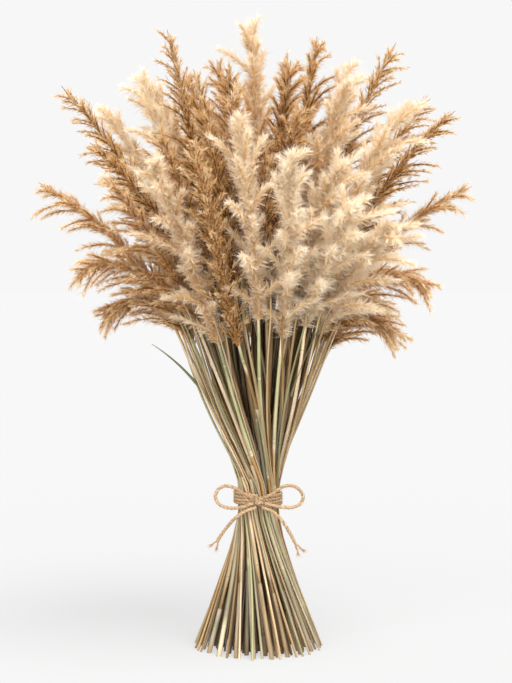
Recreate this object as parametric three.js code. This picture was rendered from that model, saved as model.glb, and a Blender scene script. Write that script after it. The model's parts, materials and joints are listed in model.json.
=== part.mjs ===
// A bundle of dried reed, tied at its waist with jute twine and standing on its splayed cut ends.
// Millimetres, +Z up, -Y towards the front. The origin is on the surface, under the middle reed.
// Azimuths are degrees round the bundle, measured from the front and growing towards +X.

import * as THREE from "three";

// ---- Driving dimensions -------------------------------------------------------------------------

// The bundle: straight canes that cross a narrow waist, so it opens and turns above and below the tie.
const TIE_HEIGHT = 150;
const TIE_HALF_HEIGHT = 8;
const OPENING_ABOVE = 38.5; // height above the tie over which the bundle opens by its waist radius
const OPENING_BELOW = 44.6;
const STEM_PITCH = 4.7; // between the axes of two canes that touch at the tie
const TWIST_ABOVE = 0.7; // 1 would be straight lines round the waist, 0 a plain splay
const TWIST_BELOW = 0.6;

const HEAD_HEIGHT = 320; // about where the plumes start

// The canes.
const STEM_SIDES = 5;
const STEM_PHASE = 0.25; // by how much of a side the cane's corners are turned
const STEM_WAIST_RADIUS = 2.2;
const STEM_CUT_RADIUS = 2.5;
const STEM_RADIUS = [
  [0, STEM_CUT_RADIUS],
  [TIE_HEIGHT, STEM_WAIST_RADIUS],
  [240, 2.3],
  [300, 2.1],
  [440, 1.4],
]; // [height, radius]
const STEM_STATIONS = [
  0,
  60,
  112,
  TIE_HEIGHT - TIE_HALF_HEIGHT,
  TIE_HEIGHT + TIE_HALF_HEIGHT,
  190,
  240,
  300,
  350,
  400,
]; // heights of the cane's rings
const STATION_SPACING = 22; // a station this close under the plume's root is left out

// The plumes: a slim core with tufts that stand out of it.
const PLUMES = {
  cream: { core: 4.4, sides: 4, band: 18, reach: 34, wide: 40, narrow: 20, colour: 0xd9c4a0 },
  tan: { core: 3.9, sides: 4, band: 18, reach: 32, wide: 38, narrow: 18, colour: 0xc2a073 },
  golden: { core: 2.8, sides: 3, band: 18, reach: 30, wide: 31, narrow: 14, colour: 0xb0803f },
}; // core, band and reach in mm; wide and narrow: the tufts' angle from the axis at root and tip
const CORE_TIP_RADIUS = 0.9;
const CORE_ROOT_SHARE = 0.3; // of the core's radius, at the plume's root and towards its tip
const CORE_FULL_TO = 0.6; // how far along the plume its core keeps its full radius
const TUFT_LENGTHS = [
  [0, 0.5],
  [0.15, 0.85],
  [0.4, 1],
  [0.75, 0.75],
  [1, 0.55],
]; // [place along the plume, share of the longest tuft]
const TUFT_GAP = 0.8; // kept clear between one reed's tufts and the next reed
const TUFT_LEAST = 0.62; // the least a tuft's length is of the longest at its place
const TUFT_SHORTEST = 3; // a tuft that finds less room than this is left out
const TUFT_SHRINK = 0.86; // the share of its length that a tuft tries next, where it finds no room
const TUFT_TESTED_AT = [0.2, 0.4, 0.6, 0.8, 1]; // places along a tuft's edges that must be clear
const TUFT_STAND_OFF = 1; // the least share of its reach that a tuft keeps off its own bent plume
const SWING = 5; // degrees by which the tips of rows used again vary
const LIFT = 16; // mm by which they vary in height
const ARCH = 0.5; // how far along its first direction a plume's bend lies, as a share of its length

// The leaf blades.
const LEAF_WIDTHS = [
  [0, 2.7],
  [0.4, 3.4],
  [1, 0.85],
]; // [place along the blade, width]
const LEAF_THICKNESS = 0.8;
const LEAF_ROOT_HEIGHT = 9; // of the facet of the cane that the blade grows from
const LEAF_STEPS = 5;
const LEAF_LIFT = 7; // how far the blade's bend stands off the cane

// The twine.
const TWINE_RADIUS = 1.8;
const TWINE_SIDES = 8;
const TWINE_STEP = 9;
const WRAP_TURNS = 4;
const WRAP_SEGMENTS = 24;
const WRAP_CREST = [0.3, 0.7]; // where a turn's outermost part starts and ends, as shares of its height
const KNOT_HALF = { x: 5.6, y: 2.9, z: 5.2 };
const KNOT_X = 1;
const KNOT_SEGMENTS = 10;
const KNOT_BANDS = 6;
const FIT_GAP = 0.3; // between pieces that touch

// ---- The reeds, as they stand in the bundle ------------------------------------------------------

// Each ring holds its reeds at even azimuths, given where the head starts. A reed's row is
// [kind, height of the plume's root, azimuth, radius and height of its tip, arch]. A ring with fewer
// rows than reeds uses its rows again for the ones behind. The rings go from the middle outwards.
const RINGS = [
  {
    count: 1,
    firstAzimuth: 0,
    rows: [["cream", 430, -60, 8, 626]],
  },
  {
    count: 6,
    firstAzimuth: -88,
    rows: [
      ["tan", 402, -86, 72, 572],
      ["golden", 400, -19, 85, 572],
      ["tan", 398, 22, 82, 576],
      ["tan", 408, 108, 62, 610],
      ["tan", 400, 152, 62, 596],
      ["tan", 404, 214, 76, 592],
    ],
  },
  {
    count: 11,
    firstAzimuth: -80,
    rows: [
      ["cream", 385, -92, 118, 573],
      ["golden", 395, -53, 108, 606],
      ["tan", 385, -12, 112, 545],
      ["tan", 382, 20, 118, 530],
      ["cream", 384, 52, 112, 562],
      ["golden", 395, 84, 136, 600],
      ["cream", 390, 108, 97, 588],
      ["tan", 384, 150, 115, 560],
      ["tan", 386, 182, 112, 578],
      ["golden", 390, 215, 118, 586],
      ["cream", 386, 247, 122, 570],
    ],
  },
  {
    count: 15,
    firstAzimuth: -88,
    rows: [
      ["golden", 362, -80, 194, 556],
      ["golden", 345, -63, 178, 498],
      ["tan", 350, -42, 138, 508],
      ["golden", 358, -24, 122, 538],
      ["golden", 348, 2, 112, 500],
      ["cream", 345, 37, 138, 482],
      ["cream", 352, 65, 160, 540],
      ["golden", 360, 84, 194, 533],
    ],
  },
  {
    count: 21,
    firstAzimuth: -101.6,
    rows: [
      ["tan", 302, -99, 158, 328, 0.9],
      ["tan", 318, -84, 216, 463],
      ["tan", 310, -66, 190, 374, 0.8],
      ["tan", 324, -51, 181, 462],
      ["cream", 308, -30, 191, 480],
      ["golden", 306, -20, 172, 498],
      ["cream", 332, -8, 140, 526],
      ["cream", 314, 10, 176, 488],
      ["cream", 324, 33, 166, 442],
      ["cream", 318, 46, 176, 420],
      ["tan", 308, 66, 180, 360, 0.85],
      ["tan", 298, 80, 132, 316, 0.9],
      ["tan", 326, 97, 217, 461],
    ],
  },
];

// Leaf blades on the outermost reeds. A row is
// [place in the ring, height of the root, azimuth, radius and height of the tip].
const LEAVES = [
  [1, 232, -86, 106, 304],
  [8, 250, 40, 112, 346],
  [14, 236, 142, 104, 318],
  [17, 246, 200, 98, 336],
];

const JUTE_COLOUR = 0xbf9e77;
const ROUGHNESS = 0.95;

const UP = new THREE.Vector3(0, 0, 1);

/** The same draw between 0 and 1 for the same whole numbers. */
function draw(...numbers) {
  let h = 2166136261;
  for (const n of numbers) {
    h = Math.imul(h ^ n, 16777619);
    h = Math.imul(h ^ (h >>> 15), 2246822519);
    h ^= h >>> 13;
  }
  return (h >>> 0) / 4294967296;
}

/** A point at an azimuth in degrees, a radius and a height. */
function polar(azimuth, radius, height) {
  const a = THREE.MathUtils.degToRad(azimuth);
  return new THREE.Vector3(radius * Math.sin(a), -radius * Math.cos(a), height);
}

/** How far the bundle has opened at a height, and how many degrees it has turned. */
function spread(height) {
  const above = height > TIE_HEIGHT;
  const clear = Math.max(0, Math.abs(height - TIE_HEIGHT) - TIE_HALF_HEIGHT);
  const rise = clear / (above ? OPENING_ABOVE : OPENING_BELOW);
  const turn = THREE.MathUtils.radToDeg(Math.atan(rise));
  return { scale: Math.hypot(1, rise), turn: above ? -TWIST_ABOVE * turn : TWIST_BELOW * turn };
}

/** Linear interpolation in a list of [position, value] pairs. */
function readCurve(pairs, at) {
  const k = pairs.findIndex(([x]) => x > at);
  if (k === 0) return pairs[0][1];
  if (k < 0) return pairs[pairs.length - 1][1];
  const [x0, y0] = pairs[k - 1];
  const [x1, y1] = pairs[k];
  return y0 + ((y1 - y0) * (at - x0)) / (x1 - x0);
}

/** A reed's cane at a height. */
function canePoint(reed, height) {
  const { scale, turn } = spread(height);
  return polar(reed.waistAzimuth + turn, reed.waistRadius * scale, height);
}

/** The curve of a plume, or of a leaf: it leaves along the cane and bends over to its tip. */
function bend(reed, rootHeight, tip, arch) {
  const root = canePoint(reed, rootHeight);
  const along = root.clone().sub(canePoint(reed, rootHeight - 1)).normalize();
  const control = root.clone().addScaledVector(along, arch * root.distanceTo(tip));
  return new THREE.QuadraticBezierCurve3(root, control, tip);
}

/** The least distance from the middle of the waist at which a cane clears those already placed there. */
function waistRadius(azimuth, placed) {
  const u = polar(azimuth, 1, 0);
  const needs = placed.map((p) => {
    const along = p.dot(u);
    const square = STEM_PITCH ** 2 - p.lengthSq() + along ** 2;
    return square > 0 ? along + Math.sqrt(square) : 0;
  });
  return Math.max(0, ...needs);
}

/** One reed: its place at the waist, its kind and its plume's curve. */
function layReed(ringIndex, place, placed) {
  const { count, firstAzimuth, rows } = RINGS[ringIndex];
  const row = place % rows.length;
  const [kind, rootHeight, tipAzimuth, tipRadius, tipHeight, arch = ARCH] = rows[row];
  const step = 360 / count;
  const waistAzimuth = firstAzimuth + step * place - spread(HEAD_HEIGHT).turn;
  const reed = {
    ringIndex,
    place,
    kind,
    rootHeight,
    waistAzimuth,
    waistRadius: waistRadius(waistAzimuth, placed),
  };
  const again = place === row ? 0 : 1;
  const swing = step * (place - row) + again * SWING * (draw(ringIndex, place, 1) - 0.5);
  const lift = again * LIFT * (draw(ringIndex, place, 2) - 0.5);
  reed.curve = bend(reed, rootHeight, polar(tipAzimuth + swing, tipRadius, tipHeight + lift), arch);
  return reed;
}

/** All the reeds. At the waist each is pulled in against the rings inside its own. */
function layOut() {
  const reeds = [];
  RINGS.forEach(({ count }, ringIndex) => {
    const placed = reeds.map((reed) => polar(reed.waistAzimuth, reed.waistRadius, 0));
    for (let place = 0; place < count; place++) {
      reeds.push(layReed(ringIndex, place, placed));
    }
  });
  return reeds;
}

const REEDS = layOut();

// ---- Reed solids ---------------------------------------------------------------------------------

/** Rings of vertices and the faces between them, as one closed skin. */
class Skin {
  constructor() {
    this.points = [];
    this.faces = [];
  }

  add(point) {
    this.points.push(point);
    return this.points.length - 1;
  }

  /** A ring of vertices round a centre, square to a direction. */
  ring(centre, direction, sideways, radius, sides, phase) {
    const side = sideways.clone().addScaledVector(direction, -sideways.dot(direction)).normalize();
    const front = new THREE.Vector3().crossVectors(direction, side);
    return Array.from({ length: sides }, (_, k) => {
      const a = (2 * Math.PI * (k + phase)) / sides;
      const offset = side.clone().multiplyScalar(Math.cos(a)).addScaledVector(front, Math.sin(a));
      return this.add(centre.clone().addScaledVector(offset, radius));
    });
  }

  triangle(a, b, c) {
    this.faces.push(a, b, c);
  }

  quad(a, b, c, d) {
    this.faces.push(a, b, c, a, c, d);
  }

  /** Faces from each edge of a loop to one point. */
  fan(loop, apex) {
    loop.forEach((a, k) => this.triangle(a, loop[(k + 1) % loop.length], apex));
  }

  geometry() {
    const geometry = new THREE.BufferGeometry();
    const flat = this.points.flatMap((p) => [p.x, p.y, p.z]);
    geometry.setAttribute("position", new THREE.Float32BufferAttribute(flat, 3));
    geometry.setIndex(this.faces);
    geometry.computeVertexNormals();
    return geometry;
  }
}

/** The cane's ring centres and radii, from its cut end up to the plume's root. */
function caneStations(reed) {
  const { leaf } = reed;
  const heights = STEM_STATIONS.filter((h) => h < reed.rootHeight - STATION_SPACING);
  heights.push(reed.rootHeight);
  if (leaf) heights.push(leaf.height, leaf.height + LEAF_ROOT_HEIGHT);
  heights.sort((a, b) => a - b);
  return heights.map((height) => ({
    height,
    centre: canePoint(reed, height),
    radius: readCurve(STEM_RADIUS, height),
  }));
}

/** The plume's ring centres and radii, from its root up to just under its tip. */
function plumeStations(reed) {
  const { core, band } = PLUMES[reed.kind];
  const bands = Math.round(reed.curve.getLength() / band);
  const thickness = [
    [0, CORE_ROOT_SHARE],
    [1 / bands, 1],
    [CORE_FULL_TO, 1],
    [1, CORE_ROOT_SHARE],
  ];
  return Array.from({ length: bands }, (_, k) => {
    const along = k / bands;
    const thick = readCurve(thickness, along);
    return {
      along,
      centre: reed.curve.getPointAt(along),
      direction: reed.curve.getTangentAt(along),
      radius: Math.max(CORE_TIP_RADIUS, core * thick),
    };
  });
}

/** Distance from a point to a chain of points. */
function chainDistance(point, chain) {
  const span = new THREE.Vector3();
  const toPoint = new THREE.Vector3();
  let least = Infinity;
  for (let k = 1; k < chain.length; k++) {
    span.subVectors(chain[k], chain[k - 1]);
    toPoint.subVectors(point, chain[k - 1]);
    const t = THREE.MathUtils.clamp(toPoint.dot(span) / span.lengthSq(), 0, 1);
    least = Math.min(least, toPoint.addScaledVector(span, -t).length());
  }
  return least;
}

/** Whether a point lies in a reed's own share of the head, clear of every other reed. */
function isClear(point, reed) {
  const own = chainDistance(point, reed.plumeChain);
  return REEDS.every((other) => {
    if (other === reed) return true;
    if (chainDistance(point, other.caneChain) < STEM_CUT_RADIUS + TUFT_GAP) return false;
    const away = chainDistance(point, other.plumeChain);
    return away > own + TUFT_GAP && away > PLUMES[other.kind].core + TUFT_GAP;
  });
}

/** A facet of the core, raised to a tuft that points up and out, as long as its place allows. */
function raiseTuft(skin, reed, facet, along) {
  const kind = PLUMES[reed.kind];
  const [a, b, c] = facet.map((k) => skin.points[k]);
  const middle = new THREE.Vector3().add(a).add(b).add(c).divideScalar(3);
  const normal = new THREE.Triangle(a, b, c).getNormal(new THREE.Vector3());
  const direction = reed.curve.getTangentAt(along);
  const outward = normal.addScaledVector(direction, -normal.dot(direction)).normalize();
  const angle = THREE.MathUtils.degToRad(THREE.MathUtils.lerp(kind.wide, kind.narrow, along));
  const aim = direction.clone().multiplyScalar(Math.cos(angle));
  aim.addScaledVector(outward, Math.sin(angle));
  const most = kind.reach * readCurve(TUFT_LENGTHS, along);
  let length = most * THREE.MathUtils.lerp(TUFT_LEAST, 1, draw(reed.number, ...facet));
  while (length > TUFT_SHORTEST) {
    const apex = middle.clone().addScaledVector(aim, length);
    const reach = chainDistance(apex, reed.plumeChain);
    const tested = [a, b, c].flatMap((corner) => TUFT_TESTED_AT.map((t) => corner.clone().lerp(apex, t)));
    if (reach > TUFT_STAND_OFF * length * Math.sin(angle) && tested.every((p) => isClear(p, reed))) {
      skin.fan(facet, skin.add(apex));
      return;
    }
    length *= TUFT_SHRINK;
  }
  skin.triangle(...facet);
}

/** The curve of a leaf blade, from a facet of the cane to its tip. */
function leafCurve(reed, corners) {
  const curve = bend(reed, reed.leaf.height + LEAF_ROOT_HEIGHT / 2, reed.leaf.tip, ARCH);
  const start = corners.reduce((sum, p) => sum.add(p), new THREE.Vector3()).divideScalar(corners.length);
  const outward = start.clone().sub(curve.v0).normalize();
  curve.v0.copy(start);
  curve.v1.addScaledVector(outward, LEAF_LIFT);
  return curve;
}

/** A facet of the cane, drawn out into a leaf blade that leaves along the cane and bends away. */
function raiseLeaf(skin, reed, facet) {
  const curve = leafCurve(reed, facet.map((k) => skin.points[k]));
  let loop = facet;
  for (let step = 1; step < LEAF_STEPS; step++) {
    const t = step / LEAF_STEPS;
    const centre = curve.getPointAt(t);
    const direction = curve.getTangentAt(t);
    const side = new THREE.Vector3().crossVectors(UP, direction).normalize();
    const inward = new THREE.Vector3().crossVectors(direction, side).multiplyScalar(LEAF_THICKNESS / 2);
    const half = side.multiplyScalar(readCurve(LEAF_WIDTHS, t) / 2);
    const next = [
      centre.clone().sub(half).sub(inward),
      centre.clone().add(half).sub(inward),
      centre.clone().add(half).add(inward),
      centre.clone().sub(half).add(inward),
    ].map((p) => skin.add(p));
    for (let k = 0; k < 4; k++) skin.quad(loop[k], loop[(k + 1) % 4], next[(k + 1) % 4], next[k]);
    loop = next;
  }
  skin.fan(loop, skin.add(curve.getPointAt(1)));
}

/** The sideways direction, round the bundle, at a height on a reed's cane. */
function acrossCane(reed, height) {
  return polar(reed.waistAzimuth + spread(height).turn + 90, 1, 0);
}

/** The cane, from its flat cut end up, with its leaf if it has one. Returns its topmost ring. */
function addCane(skin, reed) {
  const { stations, leaf } = reed;
  const rings = stations.map(({ height, centre, radius }, k) => {
    const before = stations[Math.max(0, k - 1)].centre;
    const after = stations[Math.min(stations.length - 1, k + 1)].centre;
    const direction = k === 0 ? UP : after.clone().sub(before).normalize();
    return skin.ring(centre, direction, acrossCane(reed, height), radius, STEM_SIDES, STEM_PHASE);
  });
  for (let k = 2; k < STEM_SIDES; k++) skin.triangle(rings[0][0], rings[0][k], rings[0][k - 1]);
  for (let k = 1; k < rings.length; k++) {
    const [low, high] = [rings[k - 1], rings[k]];
    const outermost = leaf && stations[k - 1].height === leaf.height ? facingOut(skin, low) : -1;
    for (let s = 0; s < STEM_SIDES; s++) {
      const next = (s + 1) % STEM_SIDES;
      const facet = [low[s], low[next], high[next], high[s]];
      if (s === outermost) raiseLeaf(skin, reed, facet);
      else skin.quad(...facet);
    }
  }
  return rings[rings.length - 1];
}

/** The plume on a cane's topmost ring. Every second ring of its core is turned by half a side. */
function addPlume(skin, reed, topOfCane) {
  const { sides } = PLUMES[reed.kind];
  const sideways = acrossCane(reed, reed.rootHeight);
  let low = topOfCane;
  reed.plume.slice(1).forEach(({ along, centre, direction, radius }, k) => {
    const turned = k % 2 ? 0 : 1;
    const high = skin.ring(centre, direction, sideways, radius, sides, STEM_PHASE + turned / 2);
    if (k === 0) {
      joinRings(skin, low, high);
    } else {
      const middle = (along + reed.plume[k].along) / 2;
      for (let s = 0; s < sides; s++) {
        const lowNext = low[(s + 1) % sides];
        const over = high[(s + 1 - turned) % sides];
        const overNext = high[(s + 2 - turned) % sides];
        raiseTuft(skin, reed, [low[s], lowNext, over], middle);
        raiseTuft(skin, reed, [lowNext, overNext, over], middle);
      }
    }
    low = high;
  });
  skin.fan(low, skin.add(reed.curve.getPointAt(1)));
}

/** One reed, grown as one piece: the cut cane, its leaf if it has one, and the plume. */
function reedGeometry(reed) {
  const skin = new Skin();
  addPlume(skin, reed, addCane(skin, reed));
  return skin.geometry();
}

/** The number of the facet above a ring that faces furthest out of the bundle. */
function facingOut(skin, ring) {
  const reach = ring.map((a, k) => {
    const b = ring[(k + 1) % ring.length];
    return skin.points[a].clone().add(skin.points[b]).setZ(0).length();
  });
  return reach.indexOf(Math.max(...reach));
}

/** Faces between two rings with different numbers of vertices. */
function joinRings(skin, low, high) {
  let a = 0;
  let b = 0;
  while (a < low.length || b < high.length) {
    const lowNext = (a + 1) / low.length;
    const highNext = (b + 1) / high.length;
    const onLow = low[a % low.length];
    const onHigh = high[b % high.length];
    if (b === high.length || (a < low.length && lowNext <= highNext)) {
      skin.triangle(onLow, low[(a + 1) % low.length], onHigh);
      a++;
    } else {
      skin.triangle(onLow, high[(b + 1) % high.length], onHigh);
      b++;
    }
  }
}

// ---- The twine -----------------------------------------------------------------------------------

const WRAP_INNER = Math.max(...REEDS.map((reed) => reed.waistRadius)) + STEM_WAIST_RADIUS + FIT_GAP;
const WRAP_OUTER = WRAP_INNER + 2 * TWINE_RADIUS;

// Routes of the bow, each from the knot and, for a loop, back to it.
const BOW = {
  twine_loop_left: [
    [-4.7, -28, 152.8],
    [-14, -28, 157.5],
    [-23, -26.5, 162.8],
    [-31, -25, 164.6],
    [-38, -24, 162],
    [-42, -23.5, 155.5],
    [-40.5, -24, 148.5],
    [-33.5, -25, 143.8],
    [-23.5, -26.6, 142.8],
    [-14, -28, 144.6],
    [-4.7, -28, 147.6],
  ],
  twine_loop_right: [
    [6.6, -28, 152.8],
    [16, -28, 158.5],
    [24, -26.5, 163.6],
    [32, -25, 165],
    [40, -24, 161.5],
    [44.6, -23.5, 154],
    [42, -24, 147],
    [34.5, -25, 143.4],
    [25, -26.6, 143.6],
    [16, -28, 145.4],
    [6.6, -28, 147.8],
  ],
  twine_tail_left: [
    [-1.6, -28, 143.6],
    [-12, -28, 140.2],
    [-22, -27.2, 133.4],
    [-30, -26.4, 124.6],
    [-37, -25.8, 115],
    [-43.6, -25.4, 103.8],
  ],
  twine_tail_right: [
    [3.6, -28, 143.6],
    [13, -28, 140.4],
    [22.5, -27.2, 132],
    [31.5, -26.4, 118],
    [37.5, -25.8, 106.5],
    [42.4, -25.4, 98.8],
  ],
};

/** The turns round the waist: one ring whose outer side has a rounded ridge for each turn. */
function wrapsGeometry() {
  const ridge = (2 * TIE_HALF_HEIGHT) / WRAP_TURNS;
  const low = TIE_HEIGHT - TIE_HALF_HEIGHT;
  const profile = [new THREE.Vector2(WRAP_INNER, low), new THREE.Vector2(WRAP_OUTER - TWINE_RADIUS, low)];
  for (let turn = 0; turn < WRAP_TURNS; turn++) {
    WRAP_CREST.forEach((share) => profile.push(new THREE.Vector2(WRAP_OUTER, low + ridge * (turn + share))));
    profile.push(new THREE.Vector2(WRAP_OUTER - TWINE_RADIUS, low + ridge * (turn + 1)));
  }
  profile.push(new THREE.Vector2(WRAP_INNER, low + 2 * TIE_HALF_HEIGHT));
  profile.push(profile[0].clone());
  return new THREE.LatheGeometry(profile, WRAP_SEGMENTS).rotateX(Math.PI / 2);
}

/** The knot, a small rounded lump in front of the turns. */
function knotGeometry() {
  const geometry = new THREE.SphereGeometry(1, KNOT_SEGMENTS, KNOT_BANDS);
  return geometry.scale(KNOT_HALF.x, KNOT_HALF.y, KNOT_HALF.z);
}

/** A length of twine along a route. */
function twineGeometry(route) {
  const path = new THREE.CatmullRomCurve3(route.map((p) => new THREE.Vector3(...p)));
  const section = new THREE.Shape();
  for (let k = 0; k < TWINE_SIDES; k++) {
    const a = (2 * Math.PI * k) / TWINE_SIDES;
    section[k ? "lineTo" : "moveTo"](TWINE_RADIUS * Math.cos(a), TWINE_RADIUS * Math.sin(a));
  }
  const steps = Math.round(path.getLength() / TWINE_STEP);
  return new THREE.ExtrudeGeometry(section, { steps, extrudePath: path, bevelEnabled: false });
}

// ---- The bundle ----------------------------------------------------------------------------------

function matt(colour) {
  return new THREE.MeshStandardMaterial({ color: colour, roughness: ROUGHNESS, metalness: 0 });
}

function addMesh(group, name, geometry, material) {
  const mesh = new THREE.Mesh(geometry, material);
  mesh.name = name;
  group.add(mesh);
  return mesh;
}

/** Gives each reed its number, its leaf, and the chains of points that its tufts are kept clear of. */
function prepareReeds() {
  const leaves = LEAVES.map(([place, height, ...tip]) => [place, { height, tip: polar(...tip) }]);
  const leafOf = new Map(leaves);
  REEDS.forEach((reed, k) => {
    reed.number = k + 1;
    reed.leaf = reed.ringIndex === RINGS.length - 1 ? leafOf.get(reed.place) : undefined;
    reed.stations = caneStations(reed);
    reed.plume = plumeStations(reed);
    reed.caneChain = reed.stations.map((s) => s.centre);
    reed.plumeChain = [...reed.plume.map((s) => s.centre), reed.curve.getPointAt(1)];
  });
}

function addReeds(group) {
  const materials = {};
  for (const [kind, { colour }] of Object.entries(PLUMES)) {
    materials[kind] = matt(colour);
  }
  prepareReeds();
  for (const reed of REEDS) {
    const name = `reed_${String(reed.number).padStart(2, "0")}`;
    addMesh(group, name, reedGeometry(reed), materials[reed.kind]);
  }
}

function addTwine(group) {
  const jute = matt(JUTE_COLOUR);
  addMesh(group, "twine_wraps", wrapsGeometry(), jute);
  const knot = addMesh(group, "twine_knot", knotGeometry(), jute);
  knot.position.set(KNOT_X, -(WRAP_OUTER + FIT_GAP + KNOT_HALF.y), TIE_HEIGHT);
  for (const [name, route] of Object.entries(BOW)) addMesh(group, name, twineGeometry(route), jute);
}

const group = new THREE.Group();
addReeds(group);
addTwine(group);

export default group;
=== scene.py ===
"""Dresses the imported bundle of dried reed: twisted twine, canes with nodes and sheaths, feathery plumes.

Everything is in metres, in the part's own frame: +Z up, -Y towards the front. Azimuths are degrees round
the bundle, measured from the front and growing towards +X.
"""

import json
import math

import bpy
import numpy as np
from mathutils import Vector
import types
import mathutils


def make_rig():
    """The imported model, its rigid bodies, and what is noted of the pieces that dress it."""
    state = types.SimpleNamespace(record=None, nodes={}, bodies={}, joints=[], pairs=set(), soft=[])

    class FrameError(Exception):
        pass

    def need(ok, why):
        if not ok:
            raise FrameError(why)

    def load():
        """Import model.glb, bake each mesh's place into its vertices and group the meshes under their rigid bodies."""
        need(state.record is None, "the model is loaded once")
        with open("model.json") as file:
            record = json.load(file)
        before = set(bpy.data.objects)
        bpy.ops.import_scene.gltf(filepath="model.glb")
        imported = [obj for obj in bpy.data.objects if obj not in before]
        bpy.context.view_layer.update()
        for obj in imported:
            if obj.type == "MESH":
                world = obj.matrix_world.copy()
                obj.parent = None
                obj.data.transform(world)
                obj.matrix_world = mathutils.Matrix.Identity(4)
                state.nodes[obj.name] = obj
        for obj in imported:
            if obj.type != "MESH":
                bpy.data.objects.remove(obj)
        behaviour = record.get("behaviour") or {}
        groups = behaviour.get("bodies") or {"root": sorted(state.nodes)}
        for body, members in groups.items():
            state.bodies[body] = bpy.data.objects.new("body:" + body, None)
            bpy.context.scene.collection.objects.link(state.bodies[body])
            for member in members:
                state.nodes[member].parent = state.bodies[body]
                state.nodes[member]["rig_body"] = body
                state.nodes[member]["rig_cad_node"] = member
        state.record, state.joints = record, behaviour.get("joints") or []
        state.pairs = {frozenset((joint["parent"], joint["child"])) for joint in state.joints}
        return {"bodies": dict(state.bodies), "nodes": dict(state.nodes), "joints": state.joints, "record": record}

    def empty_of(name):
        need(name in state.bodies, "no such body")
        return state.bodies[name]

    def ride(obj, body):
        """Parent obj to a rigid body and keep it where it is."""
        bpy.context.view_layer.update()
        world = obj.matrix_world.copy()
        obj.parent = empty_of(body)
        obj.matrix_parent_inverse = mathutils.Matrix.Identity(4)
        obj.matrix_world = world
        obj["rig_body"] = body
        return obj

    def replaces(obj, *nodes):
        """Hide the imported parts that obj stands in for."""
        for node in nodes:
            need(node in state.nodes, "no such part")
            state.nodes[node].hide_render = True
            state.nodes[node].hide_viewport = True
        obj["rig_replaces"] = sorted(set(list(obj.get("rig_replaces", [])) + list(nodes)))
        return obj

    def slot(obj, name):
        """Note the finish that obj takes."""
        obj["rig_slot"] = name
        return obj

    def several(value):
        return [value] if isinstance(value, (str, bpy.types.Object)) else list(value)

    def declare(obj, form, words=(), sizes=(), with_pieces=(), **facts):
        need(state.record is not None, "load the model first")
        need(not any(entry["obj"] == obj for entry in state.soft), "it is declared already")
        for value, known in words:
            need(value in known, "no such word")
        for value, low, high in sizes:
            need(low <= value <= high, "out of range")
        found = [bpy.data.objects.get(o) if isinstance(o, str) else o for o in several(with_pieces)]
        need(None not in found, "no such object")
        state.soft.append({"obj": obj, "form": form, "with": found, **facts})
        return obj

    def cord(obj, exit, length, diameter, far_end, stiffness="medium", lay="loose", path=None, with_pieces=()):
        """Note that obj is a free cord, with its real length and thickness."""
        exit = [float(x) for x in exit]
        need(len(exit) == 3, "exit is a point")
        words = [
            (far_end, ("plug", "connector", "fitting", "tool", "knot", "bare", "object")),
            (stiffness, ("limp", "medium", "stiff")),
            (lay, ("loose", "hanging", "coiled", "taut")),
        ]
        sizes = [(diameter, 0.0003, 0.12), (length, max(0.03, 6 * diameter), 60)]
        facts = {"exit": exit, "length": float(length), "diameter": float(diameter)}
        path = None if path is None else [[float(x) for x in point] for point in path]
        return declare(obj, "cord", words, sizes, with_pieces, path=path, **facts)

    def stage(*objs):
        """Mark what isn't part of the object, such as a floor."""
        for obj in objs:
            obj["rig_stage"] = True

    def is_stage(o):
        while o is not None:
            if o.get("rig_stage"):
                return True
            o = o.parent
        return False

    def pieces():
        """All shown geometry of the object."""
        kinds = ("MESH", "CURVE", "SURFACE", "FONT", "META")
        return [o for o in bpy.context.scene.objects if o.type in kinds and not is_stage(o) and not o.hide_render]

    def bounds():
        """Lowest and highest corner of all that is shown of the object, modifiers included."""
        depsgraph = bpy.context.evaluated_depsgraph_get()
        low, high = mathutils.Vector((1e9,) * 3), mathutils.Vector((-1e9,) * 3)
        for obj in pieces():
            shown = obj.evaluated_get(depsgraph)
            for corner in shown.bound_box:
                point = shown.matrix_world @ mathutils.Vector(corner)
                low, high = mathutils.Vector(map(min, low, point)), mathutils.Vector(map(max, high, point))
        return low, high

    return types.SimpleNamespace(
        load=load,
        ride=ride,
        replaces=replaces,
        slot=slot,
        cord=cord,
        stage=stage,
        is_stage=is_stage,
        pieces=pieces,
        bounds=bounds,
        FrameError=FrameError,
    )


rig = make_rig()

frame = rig.load()
cad_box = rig.bounds()

MM = 0.001
SEED = 619


def put(name, data, towards=None):
    """A new object in the scene. A light or camera is turned to face towards a direction."""
    thing = bpy.data.objects.new(name, data)
    bpy.context.scene.collection.objects.link(thing)
    if towards is not None:
        thing.rotation_euler = Vector(towards).to_track_quat("-Z", "Y").to_euler()
    return thing


# ---- Camera ----

CAMERA_PLACE = (0, -1.7, 0.395)
CAMERA_TARGET = (-0.002, 0, 0.306)


def add_camera():
    data = bpy.data.cameras.new("camera")
    data.sensor_fit = "VERTICAL"
    data.sensor_height = 36
    data.lens = 90
    camera = put("camera", data, Vector(CAMERA_TARGET) - Vector(CAMERA_PLACE))
    camera.location = CAMERA_PLACE
    bpy.context.scene.camera = camera


# ---- The layout of the reeds, the same as in the solids ----

TIE_HEIGHT = 0.150
TIE_HALF_HEIGHT = 0.008
OPENING_ABOVE = 0.0385  # height above the tie over which the bundle opens by its waist radius
OPENING_BELOW = 0.0446
STEM_PITCH = 0.0047
TWIST_ABOVE = 0.7
TWIST_BELOW = 0.6
HEAD_HEIGHT = 0.320
SWING = 5  # degrees, and the lift, by which plumes of the same row differ
LIFT = 0.016
ARCH = 0.5  # how far the cane's own direction carries a plume, as a share of the way to its tip
SOLID_CANE_RADIUS = 0.0022  # at the tie

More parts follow.
